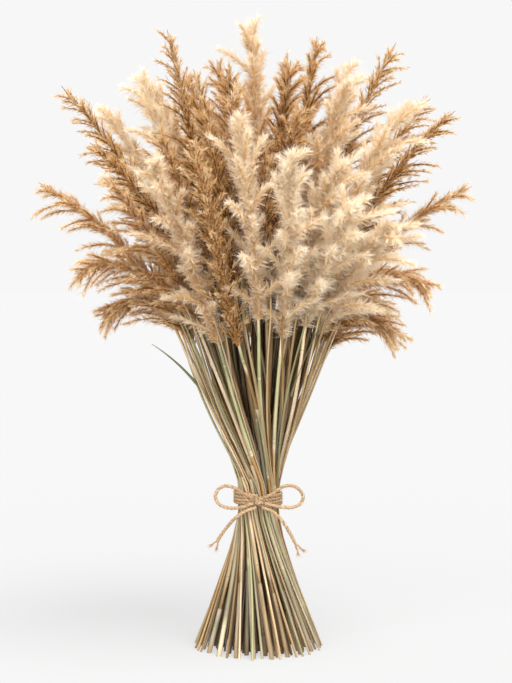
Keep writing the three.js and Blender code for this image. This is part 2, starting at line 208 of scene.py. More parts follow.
# The rings of reeds, from the middle: how many, the first one's azimuth in the head, and rows, which repeat.
# A row is (kind, height of the plume's root, azimuth, radius and height of its tip, arch).
RINGS = [
    (1, 0, [("cream", 0.430, -60, 0.008, 0.626)]),
    (6, -88, [
        ("tan", 0.402, -86, 0.072, 0.572), ("golden", 0.400, -19, 0.085, 0.572),
        ("tan", 0.398, 22, 0.082, 0.576), ("tan", 0.408, 108, 0.062, 0.610),
        ("tan", 0.400, 152, 0.062, 0.596), ("tan", 0.404, 214, 0.076, 0.592),
    ]),
    (11, -80, [
        ("cream", 0.385, -92, 0.118, 0.573), ("golden", 0.395, -53, 0.108, 0.606),
        ("tan", 0.385, -12, 0.112, 0.545), ("tan", 0.382, 20, 0.118, 0.530),
        ("cream", 0.384, 52, 0.112, 0.562), ("golden", 0.395, 84, 0.136, 0.600),
        ("cream", 0.390, 108, 0.097, 0.588), ("tan", 0.384, 150, 0.115, 0.560),
        ("tan", 0.386, 182, 0.112, 0.578), ("golden", 0.390, 215, 0.118, 0.586),
        ("cream", 0.386, 247, 0.122, 0.570),
    ]),
    (15, -88, [
        ("golden", 0.362, -80, 0.194, 0.556), ("golden", 0.345, -63, 0.178, 0.498),
        ("tan", 0.350, -42, 0.138, 0.508), ("golden", 0.358, -24, 0.122, 0.538),
        ("golden", 0.348, 2, 0.112, 0.500), ("cream", 0.345, 37, 0.138, 0.482),
        ("cream", 0.352, 65, 0.160, 0.540), ("golden", 0.360, 84, 0.194, 0.533),
    ]),
    (21, -101.6, [
        ("tan", 0.302, -99, 0.158, 0.328, 0.9), ("tan", 0.318, -84, 0.216, 0.463),
        ("tan", 0.310, -66, 0.190, 0.374, 0.8), ("tan", 0.324, -51, 0.181, 0.462),
        ("cream", 0.308, -30, 0.191, 0.480), ("golden", 0.306, -20, 0.172, 0.498),
        ("cream", 0.332, -8, 0.140, 0.526), ("cream", 0.314, 10, 0.176, 0.488),
        ("cream", 0.324, 33, 0.166, 0.442), ("cream", 0.318, 46, 0.176, 0.420),
        ("tan", 0.308, 66, 0.180, 0.360, 0.85), ("tan", 0.298, 80, 0.132, 0.316, 0.9),
        ("tan", 0.326, 97, 0.217, 0.461),
    ]),
]

# Leaf blades of the outermost ring: (place, height of the root, azimuth, radius and height of the tip).
LEAVES = [
    (1, 0.232, -86, 0.106, 0.304),
    (8, 0.250, 40, 0.112, 0.346),
    (14, 0.236, 142, 0.104, 0.318),
    (17, 0.246, 200, 0.098, 0.336),
]


def draw(*numbers):
    """The same draw between 0 and 1 for the same whole numbers, as in the solids."""
    whole = 0xFFFFFFFF
    h = 2166136261
    for n in numbers:
        h = ((h ^ n) * 16777619) & whole
        h = ((h ^ (h >> 15)) * 2246822519) & whole
        h ^= h >> 13
    return h / (whole + 1)


def read(rows, x):
    """The value at x on the line through rows of (place, value)."""
    return np.interp(x, *zip(*rows))


def polar(azimuth, radius, height):
    a = np.radians(azimuth)
    return np.stack(np.broadcast_arrays(radius * np.sin(a), -radius * np.cos(a), height), axis=-1)


def spread(height):
    """How far the bundle has opened at a height, and how many degrees it has turned."""
    height = np.asarray(height, float)
    above = height > TIE_HEIGHT
    clear = np.maximum(0, np.abs(height - TIE_HEIGHT) - TIE_HALF_HEIGHT)
    rise = clear / np.where(above, OPENING_ABOVE, OPENING_BELOW)
    turn = np.degrees(np.arctan(rise))
    return np.hypot(1, rise), np.where(above, -TWIST_ABOVE * turn, TWIST_BELOW * turn)


def cane_point(reed, height):
    scale, turn = spread(height)
    return polar(reed["azimuth"] + turn, reed["radius"] * scale, height)


def unit(v):
    return v / np.linalg.norm(v, axis=-1, keepdims=True)


def bend(reed, root_height, tip, arch):
    """The three points of a curve that leaves along the cane and bends over to its tip."""
    root = cane_point(reed, root_height)
    along = unit(root - cane_point(reed, root_height - MM))
    return np.array([root, root + along * arch * np.linalg.norm(tip - root), tip])


def bezier(control, t):
    t = np.asarray(t)[..., None]
    return (1 - t) ** 2 * control[0] + 2 * t * (1 - t) * control[1] + t**2 * control[2]


def waist_radius(azimuth, placed):
    """The least distance from the middle of the waist at which a cane clears those already placed."""
    u = polar(azimuth, 1, 0)
    least = 0
    for p in placed:
        along = p @ u
        square = STEM_PITCH**2 - p @ p + along**2
        if square > 0:
            least = max(least, along + math.sqrt(square))
    return least


def lay_out():
    """All the reeds, from the middle of the bundle outwards."""
    reeds = []
    leaves = {place: row for place, *row in LEAVES}
    for ring_index, (count, first, rows) in enumerate(RINGS):
        placed = [polar(r["azimuth"], r["radius"], 0) for r in reeds]
        step = 360 / count
        for place in range(count):
            row = place % len(rows)
            kind, root_height, tip_azimuth, tip_radius, tip_height, *arch = rows[row]
            azimuth = first + step * place - float(spread(HEAD_HEIGHT)[1])
            again = place != row
            swing = step * (place - row) + again * SWING * (draw(ring_index, place, 1) - 0.5)
            lift = again * LIFT * (draw(ring_index, place, 2) - 0.5)
            reed = dict(number=len(reeds) + 1, kind=kind, root_height=root_height, azimuth=azimuth)
            reed["radius"] = waist_radius(azimuth, placed)
            tip = polar(tip_azimuth + swing, tip_radius, tip_height + lift)
            reed["curve"] = bend(reed, root_height, tip, arch[0] if arch else ARCH)
            if ring_index == len(RINGS) - 1 and place in leaves:
                reed["leaf"] = leaves[place]
            reeds.append(reed)
    return reeds


# ---- Meshes ----


class Sheaf:
    """Triangles with named maps. Each face corner has two numbers for every map."""

    def __init__(self):
        self.points = []
        self.faces = []
        self.corners = []
        self.count = 0

    def add(self, points, faces, *numbers):
        """points (n, 3), faces (m, 3), then one (m, 3) for each number of the face corners."""
        self.points.append(points.reshape(-1, 3))
        self.faces.append(faces.reshape(-1, 3) + self.count)
        self.corners.append(np.stack([np.broadcast_to(n, faces.shape).ravel() for n in numbers], axis=-1))
        self.count += self.points[-1].shape[0]

    def mesh(self, name, **maps):
        """Each map is named with the place of the first of its two numbers."""
        points = np.concatenate(self.points).astype(np.float32)
        faces = np.concatenate(self.faces).astype(np.int32)
        corners = np.concatenate(self.corners).astype(np.float32)
        mesh = bpy.data.meshes.new(name)
        mesh.vertices.add(len(points))
        mesh.vertices.foreach_set("co", points.ravel())
        mesh.loops.add(faces.size)
        mesh.loops.foreach_set("vertex_index", faces.ravel())
        mesh.polygons.add(len(faces))
        mesh.polygons.foreach_set("loop_start", np.arange(0, faces.size, 3, dtype=np.int32))
        mesh.update(calc_edges=True)
        mesh.polygons.foreach_set("use_smooth", np.ones(len(faces), bool))
        for layer, first in maps.items():
            uv = corners[:, first:first + 2]
            mesh.uv_layers.new(name=layer).data.foreach_set("uv", uv.ravel())
        mesh.validate()
        return mesh


def add_piece(name, mesh, material, slot, *nodes):
    """A piece of the object that stands for some of its solids."""
    mesh.materials.append(material)
    piece = put(name, mesh)
    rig.ride(piece, "root")
    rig.replaces(piece, *nodes)
    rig.slot(piece, slot)
    return piece


def across(direction, hint):
    """Unit vectors square to direction, as near to hint as can be."""
    return unit(hint - np.sum(hint * direction, axis=-1, keepdims=True) * direction)


# The strand map's first number is a strand's tone. In its second, hairs, cores and spikelets each have
# their own span, which tells them apart and says how far along the strand a point is.
TONE_HALF_WIDTH = 0.004  # so that a strand has some width in the map
HAIR_SPAN = (0.02, 0.60)
CORE_SPAN = (0.64, 0.74)
SPIKELET_SPAN = (0.76, 0.98)
SPIKELET_FULLEST = 0.4  # place along a spikelet where it is widest
KEEL_DEPTH = 0.35  # of a spikelet's width

HOLE_DEPTH = 0.004  # of the pith hole at a cane's cut end
HOLE_SHARE = 0.5  # of the cane's radius
HOLE_PAINTED_SHADES = (1, 0.3, 1, 0.3, 0.1)  # painted shade, darker down the pith hole: the cut face and the wall, each twice, and the floor
CUT_HUE = 0.50


def hairs(sheaf, base, direction, facing, length, width, sag, tone):
    """Flat pointed hairs, each one triangle that faces along facing. One row of each for each hair."""
    half = np.cross(direction, facing) * (width / 2)[:, None]
    tip = base + (direction + sag) * length[:, None]
    points = np.stack([base - half, base + half, tip], axis=1)
    faces = np.arange(3 * len(base)).reshape(-1, 1, 3)
    low, high = HAIR_SPAN
    corner_tone = np.array([-1, 1, 0]) * TONE_HALF_WIDTH
    sheaf.add(points, faces, tone[:, None, None] + corner_tone, np.array([low, low, high]))


def spikelets(sheaf, base, direction, facing, length, width, tone):
    """Keeled slivers, pointed at both ends, whose keels face along facing."""
    half = np.cross(direction, facing) * (width / 2)[:, None]
    middle = base + direction * (length * SPIKELET_FULLEST)[:, None]
    middle = middle - facing * (width * KEEL_DEPTH)[:, None]
    points = np.stack([base, middle - half, middle + half, base + direction * length[:, None]], axis=1)
    corners = np.array([[0, 2, 3], [0, 3, 1]])
    faces = corners[None] + 4 * np.arange(len(base))[:, None, None]
    low, high = SPIKELET_SPAN
    corner_along = np.array([low, *[low + (high - low) * SPIKELET_FULLEST] * 2, high])[corners]
    corner_tone = np.array([0, -1, 1, 0])[corners] * TONE_HALF_WIDTH
    sheaf.add(points, faces, tone[:, None, None] + corner_tone, corner_along)


def frames_along(points, hint):
    """Unit tangents and two unit vectors square to them, carried along a chain of points without twist."""
    tangents = unit(np.gradient(points, axis=0))
    side = across(tangents[0], np.asarray(hint, float))
    sides = [side]
    for t in tangents[1:]:
        side = across(t, side)
        sides.append(side)
    sides = np.array(sides)
    return tangents, sides, np.cross(tangents, sides)


def ring_faces(rings, sides):
    """The triangles of a tube, and for each of their corners its ring and its side, up to sides itself."""
    ring, side = np.indices((rings - 1, sides))[..., None, None]
    ring = ring + [[0, 0, 1], [0, 1, 1]]
    side = side + [[0, 1, 1], [0, 1, 0]]
    return ring * sides + side % sides, ring, side


def skin(points, radii, sides, hint):
    """Rings of points round a chain, the first of each on the side of hint."""
    _, side, front = frames_along(points, hint)
    angles = 2 * math.pi * np.arange(sides) / sides
    ring = np.cos(angles)[None, :, None] * side[:, None] + np.sin(angles)[None, :, None] * front[:, None]
    return points[:, None] + ring * np.asarray(radii)[:, None, None]


def rod(sheaf, points, radii, sides, shift, lengths, hues, shades, hint, hollow=0):
    """A tube with closed ends for two maps: the places round and along it, then hue and shade."""
    rounds = skin(points, radii, sides, hint)
    if hollow:
        rounds[0, :, 2] = points[0, 2]
    faces, ring, side = ring_faces(len(points), sides)
    sheaf.add(rounds, faces, shift + side / sides, lengths[ring], hues[ring], shades[ring])
    start = np.arange(sides)
    end = (start + 1) % sides
    cap = np.stack([end, start, np.full(sides, sides)], -1)

    def close(k, faces):
        disc = np.concatenate([rounds[k], [points[k]]])
        sheaf.add(disc, faces, shift + 0.5, lengths[k], hues[k], shades[k])

    if hollow:
        inward = unit(points[1] - points[0])
        lip = points[0] + (rounds[0] - points[0]) * HOLE_SHARE
        rings = np.concatenate([rounds[0], lip, lip + inward * hollow, [points[0] + inward * hollow]])
        bands = (0, sides)  # the cut face, and the wall of the hole
        faces = [np.stack([end + k, start + k, start + k + sides], -1) for k in bands]
        faces += [np.stack([end + k, start + k + sides, end + k + sides], -1) for k in bands]
        faces += [np.stack([end + 2 * sides, start + 2 * sides, np.full(sides, 3 * sides)], -1)]
        # the wall and the floor of the hole take painted shade
        dark = np.repeat(HOLE_PAINTED_SHADES, sides)[:, None]
        sheaf.add(rings, np.concatenate(faces), shift + 0.5, lengths[0], CUT_HUE, shades[0] * dark)
    else:
        close(0, cap)
    close(-1, cap[:, [1, 0, 2]])


def chain_length(points):
    return np.linalg.norm(np.diff(points, axis=0), axis=1).sum()


def evenly(points, count):
    """A number of points at even distances along a chain."""
    done = np.concatenate([[0], np.cumsum(np.linalg.norm(np.diff(points, axis=0), axis=1))])
    at = np.linspace(0, done[-1], count)
    return np.stack([np.interp(at, done, points[:, k]) for k in range(3)], axis=1)


def along_chain(points, t):
    """Points at shares t of a chain's steps."""
    x = np.clip(t, 0, 1) * (len(points) - 1)
    k = np.minimum(x.astype(int), len(points) - 2)
    f = (x - k)[..., None]
    return points[k] * (1 - f) + points[k + 1] * f


def around(direction, angle, turn):
    """Directions at an angle from direction, turned round it, and the way out from it."""
    hint = np.where(np.abs(direction[:, 2:3]) < 0.9, [[0.0, 0.0, 1.0]], [[1.0, 0.0, 0.0]])
    side = across(direction, hint)
    front = np.cross(direction, side)
    out = side * np.cos(turn)[:, None] + front * np.sin(turn)[:, None]
    return direction * np.cos(angle)[:, None] + out * np.sin(angle)[:, None], out


def tilted(direction, out, angle, rng):
    """Unit vectors square to direction, within an angle of out."""
    facing = across(direction, out)
    aside = np.cross(direction, facing)
    turn = np.radians(rng.uniform(-angle, angle, len(direction)))[:, None]
    return facing * np.cos(turn) + aside * np.sin(turn)


# ---- Twine ----

TWINE_DIAMETER = 0.0036
PLY_OFFSET = 0.00068  # a ply's centre from the twine's
PLY_RADIUS = 0.00112
PLY_SIDES = 7
TWIST_PITCH = 0.0074  # along the twine for one turn of its two plies
RING_GAP = TWIST_PITCH / 8  # between two rings of a ply
CUT_TAPER = 0.7  # of a ply's radius, at its cut ends
PARTED_LENGTH = 0.013  # at the end of a tail, where its plies come apart
PARTING = 0.0031  # of each ply from the middle, at the very end

FIBRES_PER_METRE = 3200
FIBRE_LEANS = (12, 60)  # degrees off the twine
FIBRE_WIDTH = 0.00016
FIBRE_TONE = (0.6, 0.15)  # mean and spread
TONE_ENDS = (0.02, 0.98)  # tones stay inside the strand map

WRAP_TURNS = 4
PINCH_SPAN = 0.05  # of a turn to each side of the knot, where it draws the turns together
PINCH = 0.28
FIT_GAP = 0.0003
KNOT_HALF_DEPTH = 0.0029
KNOT_BAND = np.array([(0.0006, -0.0011, 0.0003), (0.0007, 0, 0.0034)])  # half axes of the upright band
KNOT_STRAND = np.array([0.0038, 0, 0.0024])  # from the middle to the end of a strand across it

# Routes of the bow, each from the knot and, for a loop, back to it, in millimetres.
BOW = {
    "twine_loop_left": [
        (-4.7, -28, 152.8), (-14, -28, 157.5), (-23, -26.5, 162.8), (-31, -25, 164.6), (-38, -24, 162),
        (-42, -23.5, 155.5), (-40.5, -24, 148.5), (-33.5, -25, 143.8), (-23.5, -26.6, 142.8),
        (-14, -28, 144.6), (-4.7, -28, 147.6),
    ],
    "twine_loop_right": [
        (6.6, -28, 152.8), (16, -28, 158.5), (24, -26.5, 163.6), (32, -25, 165), (40, -24, 161.5),
        (44.6, -23.5, 154), (42, -24, 147), (34.5, -25, 143.4), (25, -26.6, 143.6), (16, -28, 145.4),
        (6.6, -28, 147.8),
    ],
    "twine_tail_left": [
        (-1.6, -28, 143.6), (-12, -28, 140.2), (-22, -27.2, 133.4), (-30, -26.4, 124.6), (-37, -25.8, 115),
        (-43.6, -25.4, 103.8),
    ],
    "twine_tail_right": [
        (3.6, -28, 143.6), (13, -28, 140.4), (22.5, -27.2, 132), (31.5, -26.4, 118), (37.5, -25.8, 106.5),
        (42.4, -25.4, 98.8),
    ],
}


def smooth_route(route, steps=16):
    """Points on the centripetal Catmull-Rom curve through a route in millimetres."""
    p = np.array(route, float) * MM
    p = np.concatenate([[2 * p[0] - p[1]], p, [2 * p[-1] - p[-2]]])
    t = (np.arange(steps) / steps)[:, None]
    chain = []
    for a, b, c, d in zip(p, p[1:], p[2:], p[3:]):
        before, here, after = (math.sqrt(np.linalg.norm(v)) for v in (b - a, c - b, d - c))
        start = here * ((b - a) / before - (c - a) / (before + here) + (c - b) / here)
        end = here * ((c - b) / here - (d - b) / (here + after) + (d - c) / after)
        bow = (-3 * b + 3 * c - 2 * start - end) * t**2 + (2 * b - 2 * c + start + end) * t**3
        chain.append(b + start * t + bow)
    return np.concatenate([*chain, p[-2:-1]])


def waver(length, size, pace, rng):
    """Goes up and down by size along a length, at a pace in radians a metre."""
    return size * np.sin(length * pace + rng.uniform(0, 6))


def fibre_tones(many, rng):
    return np.clip(rng.normal(*FIBRE_TONE, many), *TONE_ENDS)


def lay_twine(sheaf, fibres, route, rng, parting=0):
    """Two plies twisted along a route, and the loose fibres that stand off them.

    parting is how far from the middle each ply ends. Gives the path, and the ends of the plies.
    """
    path = evenly(route, max(2, round(chain_length(route) / RING_GAP) + 1))
    tangents, side, front = frames_along(path, (0.3, 0.2, 0.9))
    length = RING_GAP * np.arange(len(path))
    phase = 2 * math.pi * length / TWIST_PITCH + rng.uniform(0, 6)
    loose = np.clip(1 - (length[-1] - length) / PARTED_LENGTH, 0, 1)[:, None] * bool(parting)
    aside = unit(np.cross(tangents, (0, 1, 0))) * parting * loose**1.4
    ends = []
    for ply in (0, 1):
        turn = (phase + math.pi * ply)[:, None]
        centre = path + PLY_OFFSET * (1 - loose) * (np.cos(turn) * side + np.sin(turn) * front)
        centre = centre + (aside if ply else -aside)
        ends.append(centre[-1])
        radii = PLY_RADIUS * (1 + waver(length, 0.04, 310, rng))
        radii = radii * (1 - 0.25 * loose[:, 0])
        radii[[0, -1]] *= CUT_TAPER
        shades = 0.5 + waver(length, 0.05, 170, rng)
        hues = np.clip(0.5 + waver(length, 0.2, 60, rng), 0, 1)
        rod(sheaf, centre, radii, PLY_SIDES, rng.uniform(0, 50), length, hues, shades, side[0])
    many = round(length[-1] * FIBRES_PER_METRE)
    t = rng.uniform(0, 1, many)
    ahead = unit(along_chain(path, t + 0.01) - along_chain(path, t - 0.01)) * rng.choice([-1, 1], (many, 1))
    lean, turn = np.radians(rng.uniform(*FIBRE_LEANS, many)), rng.uniform(0, 2 * math.pi, many)
    direction, out = around(ahead, lean, turn)
    base = along_chain(path, t) + out * TWINE_DIAMETER * 0.36
    facing = across(direction, rng.normal(0, 1, (many, 3)))
    sag = rng.normal(0, 0.22, (many, 3))
    size = rng.uniform(0.0018, 0.0045, many)
    hairs(fibres, base, direction, facing, size, np.full(many, FIBRE_WIDTH), sag, fibre_tones(many, rng))
    return path, ends


def fray(fibres, end, direction, rng, many=60, lean=30, back=0.002, lengths=(0.003, 0.0075), curl=0.12):
    """The loose fibres at the cut end of a ply."""
    leans, turns = np.radians(rng.uniform(0, lean, many)), rng.uniform(0, 2 * math.pi, many)
    pointing, out = around(np.broadcast_to(direction, (many, 3)), leans, turns)
    base = end - direction * back + out * rng.uniform(0, PLY_RADIUS * CUT_TAPER, (many, 1))
    facing = across(pointing, rng.normal(0, 1, (many, 3)))
    size = rng.uniform(*lengths, many)
    sag = rng.normal(0, curl, (many, 3))
    hairs(fibres, base, pointing, facing, size, np.full(many, 0.00034), sag, fibre_tones(many, rng))


def wrap_route(wrap_inner):
    """A helix round the canes, whose ends lie under the knot."""
    turns = np.linspace(0, WRAP_TURNS, 96 * WRAP_TURNS + 1)
    rise = 2 * TIE_HALF_HEIGHT - TWINE_DIAMETER
    height = TIE_HEIGHT - rise / 2 + rise * turns / WRAP_TURNS
    near_knot = np.exp(-((turns % 1) / PINCH_SPAN) ** 2) + np.exp(-((1 - turns % 1) / PINCH_SPAN) ** 2)
    height = TIE_HEIGHT + (height - TIE_HEIGHT) * (1 - PINCH * np.minimum(1, near_knot))
    return polar(360 * turns, wrap_inner + TWINE_DIAMETER / 2, height)


def knot_routes(wrap_outer):
    """An upright band over the crossing of the loops, and the two strands that cross."""
    centre = np.array([0.001, -(wrap_outer + FIT_GAP + KNOT_HALF_DEPTH), TIE_HEIGHT])
    a = np.linspace(0, 2 * math.pi, 40)[:, None]
    yield centre + np.cos(a) * KNOT_BAND[0] + np.sin(a) * KNOT_BAND[1]
    s = np.linspace(-1, 1, 20)[:, None]
    for up in (1, -1):
        yield centre + (0, 0.0002, 0) + s * (KNOT_STRAND * (1, 1, up)) + s**2 * (0, 0.0006, 0)


def add_twine(material, fibre_material, waist):
    """The bow's four cords first, then the turns, the knot and all the loose fibres."""
    rng = np.random.default_rng([SEED, 1000])
    fibres = Sheaf()
    for name, route in BOW.items():
        sheaf = Sheaf()
        path, ends = lay_twine(sheaf, fibres, smooth_route(route), rng, PARTING * ("tail" in name))
        laid = name.replace("twine", "jute")
        piece = add_piece(laid, sheaf.mesh(laid, yarn=0, hue=2), material, "jute_twine", name)
        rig.cord(
            piece, exit=path[0], length=float(chain_length(path)), diameter=TWINE_DIAMETER, path=path,
            stiffness="limp", far_end="object" if "loop" in name else "bare", lay="hanging",
        )
        if "tail" in name:
            for end in ends:
                fray(fibres, end, unit(end - path[-10]), rng)
    wrap_inner = waist + SOLID_CANE_RADIUS + FIT_GAP
    routes = {"wraps": [wrap_route(wrap_inner)], "knot": knot_routes(wrap_inner + TWINE_DIAMETER)}
    for name, parts in routes.items():
        sheaf = Sheaf()
        for route in parts:
            lay_twine(sheaf, fibres, route, rng)
        laid = f"jute_{name}"
        add_piece(laid, sheaf.mesh(laid, yarn=0, hue=2), material, "jute_twine", f"twine_{name}")
    add_piece("jute_fibres", fibres.mesh("jute_fibres", OFBake=0, strand=0), fibre_material, "jute_twine")


# ---- Canes ----

CANE_SIDES = 8
CANE_RADII = [
    (0, 0.0024), (0.100, 0.0021), (TIE_HEIGHT, 0.0019), (0.240, 0.0019), (0.300, 0.0016), (0.440, 0.0011),
]
CANE_STEP = 0.014
CANE_HUES = [(0.74, 0.95), (0.44, 0.60), (0.24, 0.40)]  # sage, straw and tan, places along CANE_COLOURS
CANE_CHANCES = (0.5, 0.3, 0.2)
CANE_SHADES = (0.29, 0.66)
PAINTED_CANE_LIGHT = [(0, 0.88), (TIE_HEIGHT, 1.08), (0.300, 1.55)]  # painted light and shade: all canes are darker at the foot and paler towards the head, which shades them
GREEN_FROM = 0.5  # hues above this one turn green
FOOT_FADE = 0.020  # the green of a cane fades below this height
WANDER = 0.006  # how far a cane may stray above the tie; below it, a quarter as far

BUNDLE_RADIUS = 0.0208  # of the outermost canes at the waist
PAINTED_INNER_SHADE = 0.40  # painted shade of the innermost canes, where the outermost have 1
PAINTED_INNER_HUE = 0.14  # painted shade: the hue which the inner canes draw near
PAINTED_SHADE_POWER = [(0, 1.9), (TIE_HEIGHT, 1.2), (0.300, 0.75)]  # by height: how strongly the painted shade shows

FIRST_NODE = (0.020, 0.100)
NODE_SPACING = (0.085, 0.140)
NODE_HALF = 0.0011
NODE_SWELL = 1.05
NODE_HUE = 0.24
NODE_SHADE = 0.85  # of its sheath's
SHEATH_SHARE = (0.5175, 1.15)  # of the stretch between two nodes, at most all of it
SHEATH_CLEAR = (0.002, 0.003)  # free of other rings below and above a sheath's end
LIP_HUE = 0.45  # the dry edge of a sheath's end
LIP_SWELL = 1.02
LIP_HEIGHT = 0.0006
LIP_SHADOW = 0.7
CULM_SHARE = 0.80  # of the sheath's radius

MAP_SHIFT = 3.0  # between one cane and the next, in the streaks' map

STALK_SIDES = 5
STALK_RADII = [(0, 0.00135), (TIE_HEIGHT, 0.00075), (0.230, 0.00115), (0.330, 0.0009), (0.440, 0.0006)]
STALK_SQUEEZE = -0.0004  # how far a stalk may press into its neighbours at the waist
STALK_HUES = [(0.22, 0.42), (0.45, 0.6), (0.72, 0.92)]
STALK_CHANCES = (0.5, 0.25, 0.25)

SHEATH_STEPS = 8
SHEATH_WIDTH = 0.0075
SHEATH_OFF = (0.001, 0.009)  # from the cane at its foot, and how much further at its top

LEAF_ROOT_HEIGHT = 0.009
LEAF_WIDTHS = [(0, 0.0027), (0.4, 0.0034), (1, 0.00085)]
LEAF_THICKNESS = 0.0006
LEAF_TWIST = 65  # degrees
LEAF_DRY = [(0, 0), (0.75, 0), (1, 0.35)]  # how much its hue falls along it
LEAF_SHADE = 0.34


def level(v):
    """The unit vector of v's level part."""
    return unit(v * (1, 1, 0) + (0, 1e-9, 0))


def stalk_places(reeds):
    """For each cane, the places at the waist of the thin stalks beside it, in the widest gaps near it."""
    canes = [polar(r["azimuth"], r["radius"], 0) for r in reeds]
    thin, thick = read(STALK_RADII, TIE_HEIGHT), read(CANE_RADII, TIE_HEIGHT)
    rim = max(r["radius"] for r in reeds) + thick
    stalks = []

    def room(place):
        return min(
            min(np.linalg.norm(place - c) for c in canes) - thick - thin,
            min((np.linalg.norm(place - c) for c in stalks), default=1) - 2 * thin,
            rim - thin - np.linalg.norm(place),
        )

    for centre in canes:
        mine = []
        for _ in range(2):
            place = max((centre + polar(turn, thick + thin, 0) for turn in range(0, 360, 10)), key=room)
            if room(place) > STALK_SQUEEZE:
                stalks.append(place)
                azimuth = math.degrees(math.atan2(place[0], -place[1]))
                mine.append(dict(azimuth=azimuth, radius=float(np.linalg.norm(place))))
        yield mine


def painted_depth_shade(place, heights):
    """Painted shade: how bright a cane is at some heights, duller in the middle of the bundle, most of all at the
    foot.
    """
    shade = PAINTED_INNER_SHADE + (1 - PAINTED_INNER_SHADE) * min(1, place["radius"] / BUNDLE_RADIUS) ** 4
    return shade ** read(PAINTED_SHADE_POWER, heights)


def painted_shade_hues(hues, light):
    """Hues drawn towards the brown of the painted shade in the middle of the bundle."""
    return PAINTED_INNER_HUE + (hues - PAINTED_INNER_HUE) * light**0.5


def wandering(reed, points, rng, reach=WANDER):
    """Points of a cane moved a little aside and out, but not at its foot, the tie or the plume's root."""
    height = points[:, 2]
    above = np.sin(math.pi * np.clip((height - TIE_HEIGHT) / (reed["root_height"] - TIE_HEIGHT), 0, 1))
    below = 0.25 * np.sin(math.pi * np.clip(height / TIE_HEIGHT, 0, 1))
    out = unit(points * (1, 1, 0) + 1e-9)
    aside = np.cross([0, 0, 1.0], out)
    share = (above + below)[:, None]
    return points + share * (aside * rng.uniform(-reach, reach) + out * rng.uniform(0, 0.5 * reach))


def cane_rings(reed, rng):
    """Rows of height, radius, hue and shade up a cane, with its nodes and the ends of its sheaths."""
    top = reed["root_height"]
    rows = []
    node = 0.0
    following = rng.uniform(*FIRST_NODE)
    own = rng.choice(3, p=CANE_CHANCES)
    while node < top:
        hue = rng.uniform(*CANE_HUES[own if rng.uniform() < 0.8 else rng.choice(3)])
        culm_hue = rng.uniform(0.20, 0.42)
        shade = rng.uniform(*CANE_SHADES)
        end = min(following, top)
        sheath_end = node + (end - node) * min(1, rng.uniform(*SHEATH_SHARE))
        if node:
            rows.append((node - NODE_HALF, 1.0, hue, shade))
            rows.append((node, NODE_SWELL, (hue + NODE_HUE) / 2, shade * NODE_SHADE))
            rows.append((node + NODE_HALF, 1.0, hue, shade))
        for height in np.arange(node + CANE_STEP, end - 0.004, CANE_STEP):
            if height < sheath_end - SHEATH_CLEAR[0]:
                rows.append((height, 1.0, hue + rng.uniform(-0.04, 0.04), shade + rng.uniform(-0.05, 0.05)))
            elif height > sheath_end + SHEATH_CLEAR[1]:
                rows.append((height, CULM_SHARE, culm_hue + rng.uniform(-0.03, 0.03), shade * 0.95))
        if sheath_end < end - 0.006:
            rows.append((sheath_end, LIP_SWELL, (hue + LIP_HUE) / 2, shade))
            rows.append((sheath_end + LIP_HEIGHT, CULM_SHARE, culm_hue, shade * LIP_SHADOW))
        node, following = following, following + rng.uniform(*NODE_SPACING)
    rows.sort()
    rows.insert(0, (0.0, 1.0, *rows[0][2:]))
    heights, shares, hues, shades = np.array([r for r in rows if r[0] <= top]).T
    dried = np.clip(heights / FOOT_FADE, 0, 1)
    hues = np.where(hues > GREEN_FROM, GREEN_FROM + (hues - GREEN_FROM) * dried, hues)
    # the shades take painted light and shade by height
    return heights, read(CANE_RADII, heights) * shares, hues, shades * read(PAINTED_CANE_LIGHT, heights)


def strip(sheaf, corners, t, shift, length, hues, shade):
    """A blade through its four chains of corners, for the canes' maps, with each ring's place t along it."""
    faces, ring, side = ring_faces(len(t), 4)
    sheaf.add(np.stack(corners, axis=1), faces, shift + side / 4, t[ring] * length, hues[ring], shade)


def leaf_blade(sheaf, reed, rng):
    """A thin blade, keeled along its middle, that leaves the cane and bends away to its tip."""
    height, azimuth, radius, tip_height = reed["leaf"]
    curve = bend(reed, height + LEAF_ROOT_HEIGHT / 2, polar(azimuth, radius, tip_height), ARCH)
    outward = unit(curve[0] * (1, 1, 0))
    curve[0] += outward * read(CANE_RADII, height) * 0.8
    curve[1] += outward * 0.007
    t = np.linspace(0, 1, 22)
    centre = bezier(curve, t)
    tangents = unit(np.gradient(centre, axis=0))
    side = unit(np.cross([0, 0, 1], tangents))
    up = np.cross(tangents, side)
    twist = np.radians(LEAF_TWIST * np.minimum(1, t / 0.35))[:, None]
    side, up = side * np.cos(twist) + up * np.sin(twist), up * np.cos(twist) - side * np.sin(twist)
    half = (read(LEAF_WIDTHS, t) / 2)[:, None]
    thick = LEAF_THICKNESS / 2
    keel = half * 0.35
    wide, low, high = side * half, up * (keel + thick), up * (keel - thick)
    hues = rng.uniform(0.8, 1.0) - read(LEAF_DRY, t)
    strip(sheaf, [centre - wide, centre - low, centre + wide, centre - high], t, 80, 0.12, hues, LEAF_SHADE)


def thin_stalk(sheaf, reed, place, rng):
    """A side shoot or stripped sheath that fills a gap beside the cane, from the foot up into the head."""
    top = reed["root_height"] + 0.02
    heights = np.concatenate([np.linspace(0, TIE_HEIGHT - 0.02, 7), np.linspace(TIE_HEIGHT, top, 13)])
    points = wandering(reed, cane_point(place, heights), rng, 2 * WANDER)
    radii = read(STALK_RADII, heights) * rng.uniform(0.85, 1.15)
    hue = rng.choice([rng.uniform(*hues) for hues in STALK_HUES], p=STALK_CHANCES)
    # painted shade of the bundle's middle, for both hue and shade
    light = painted_depth_shade(place, heights)
    hues = painted_shade_hues(hue, light) + rng.uniform(-0.04, 0.04, len(heights))
    shades = (rng.uniform(0.30, 0.48) + rng.uniform(-0.04, 0.04, len(heights))) * light
    shift = (reed["number"] + 0.5) * MAP_SHIFT
    rod(sheaf, points, radii, STALK_SIDES, shift, heights, hues, shades, -level(points[0]), HOLE_DEPTH)


